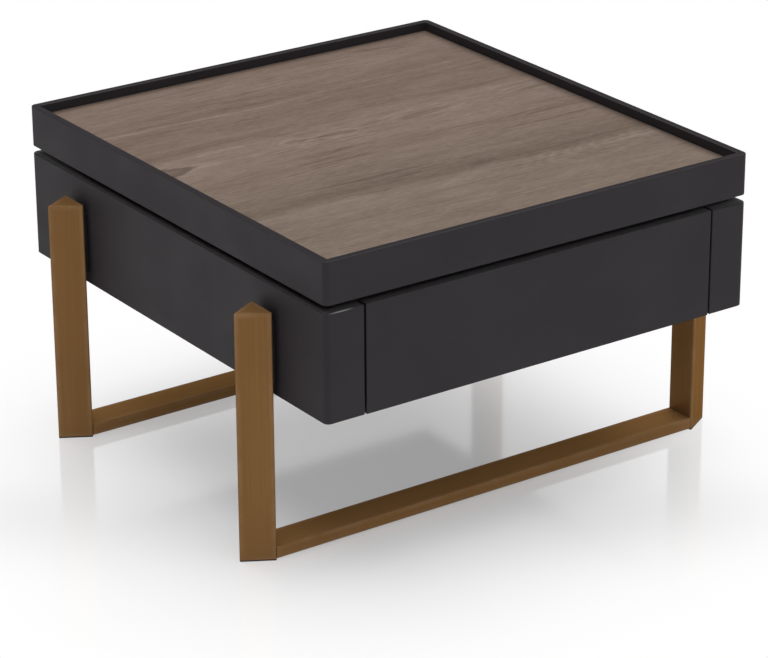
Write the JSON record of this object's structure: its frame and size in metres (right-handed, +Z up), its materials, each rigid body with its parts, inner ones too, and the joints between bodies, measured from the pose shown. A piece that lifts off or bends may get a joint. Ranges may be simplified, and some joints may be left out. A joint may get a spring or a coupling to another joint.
{
  "type": "coffee table with drawer",
  "caption": "Low table with a rimmed tray top in grey oak above a shadow gap, a charcoal cabinet with a flush handle-less drawer, and sled frames of triangular bronze tube.",
  "frame": {"origin": "on the floor, under the middle of the table", "axes": "+Z up; +X to the right along the drawer front and the floor bars; the drawer opens towards -Y"},
  "size_m": [0.8026, 0.755, 0.46],
  "materials": {
    "grey_oak": "matt lacquered grey-brown oak veneer",
    "charcoal_paint": "satin charcoal lacquer on fibreboard",
    "carcass_board": "matt dark faced board",
    "drawer_board": "matt grey-brown faced board",
    "pine": "bare sawn softwood",
    "bronze_metal": "satin bronze coat on steel tube",
    "zinc_steel": "bright zinc plate",
    "dark_steel": "black oxide",
    "black_plastic": "matt moulded"
  },
  "bodies": {
    "table": {"top_panel": "grey_oak", "tray_rail_front": "charcoal_paint", "tray_rail_back": "charcoal_paint", "tray_rail_left": "charcoal_paint", "tray_rail_right": "charcoal_paint", "tray_base": "charcoal_paint", "tray_batten_left": "pine", "tray_batten_right": "pine", "tray_spacer_left": "charcoal_paint", "tray_spacer_right": "charcoal_paint", "cabinet_top": "charcoal_paint", "cabinet_bottom": "carcass_board", "cabinet_back": "charcoal_paint", "cabinet_side_left": "charcoal_paint", "cabinet_side_right": "charcoal_paint", "stile_left": "charcoal_paint", "stile_right": "charcoal_paint", "runner_panel_left": "carcass_board", "runner_panel_right": "carcass_board", "slide_fixed_left": "zinc_steel", "slide_fixed_right": "zinc_steel", "leg_front_left": "bronze_metal", "leg_front_right": "bronze_metal", "leg_back_left": "bronze_metal", "leg_back_right": "bronze_metal", "floor_bar_front": "bronze_metal", "floor_bar_back": "bronze_metal", "foot_front_left": "black_plastic", "foot_front_right": "black_plastic", "foot_back_left": "black_plastic", "foot_back_right": "black_plastic", "leg_pad_front_left": "black_plastic", "leg_pad_front_right": "black_plastic", "leg_pad_back_left": "black_plastic", "leg_pad_back_right": "black_plastic", "leg_bolt_front_left_lower": "dark_steel", "leg_bolt_front_left_upper": "dark_steel", "leg_bolt_front_right_lower": "dark_steel", "leg_bolt_front_right_upper": "dark_steel", "leg_bolt_back_left_lower": "dark_steel", "leg_bolt_back_left_upper": "dark_steel", "leg_bolt_back_right_lower": "dark_steel", "leg_bolt_back_right_upper": "dark_steel", "tray_screw_front_left": "dark_steel", "tray_screw_front_right": "dark_steel", "tray_screw_back_left": "dark_steel", "tray_screw_back_right": "dark_steel"},
    "drawer": {"drawer_front": "charcoal_paint", "drawer_box_front": "drawer_board", "drawer_box_back": "drawer_board", "drawer_side_left": "drawer_board", "drawer_side_right": "drawer_board", "drawer_bottom": "drawer_board", "slide_moving_left": "zinc_steel", "slide_moving_right": "zinc_steel", "front_screw_left": "dark_steel", "front_screw_right": "dark_steel"},
    "slide_left": {"slide_middle_left": "zinc_steel"},
    "slide_right": {"slide_middle_right": "zinc_steel"}
  },
  "joints": [
    {"name": "drawer_slide", "type": "slide", "parent": "table", "child": "drawer", "axis": [0, -1, 0], "range_m": [0, 0.5]},
    {"name": "slide_left_travel", "type": "slide", "parent": "table", "child": "slide_left", "axis": [0, -1, 0], "range_m": [0, 0.25]},
    {"name": "slide_right_travel", "type": "slide", "parent": "table", "child": "slide_right", "axis": [0, -1, 0], "range_m": [0, 0.25]}
  ],
  "couplings": [
    {"joint": "slide_left_travel", "follows": "drawer_slide", "ratio": 0.5},
    {"joint": "slide_right_travel", "follows": "drawer_slide", "ratio": 0.5}
  ]
}
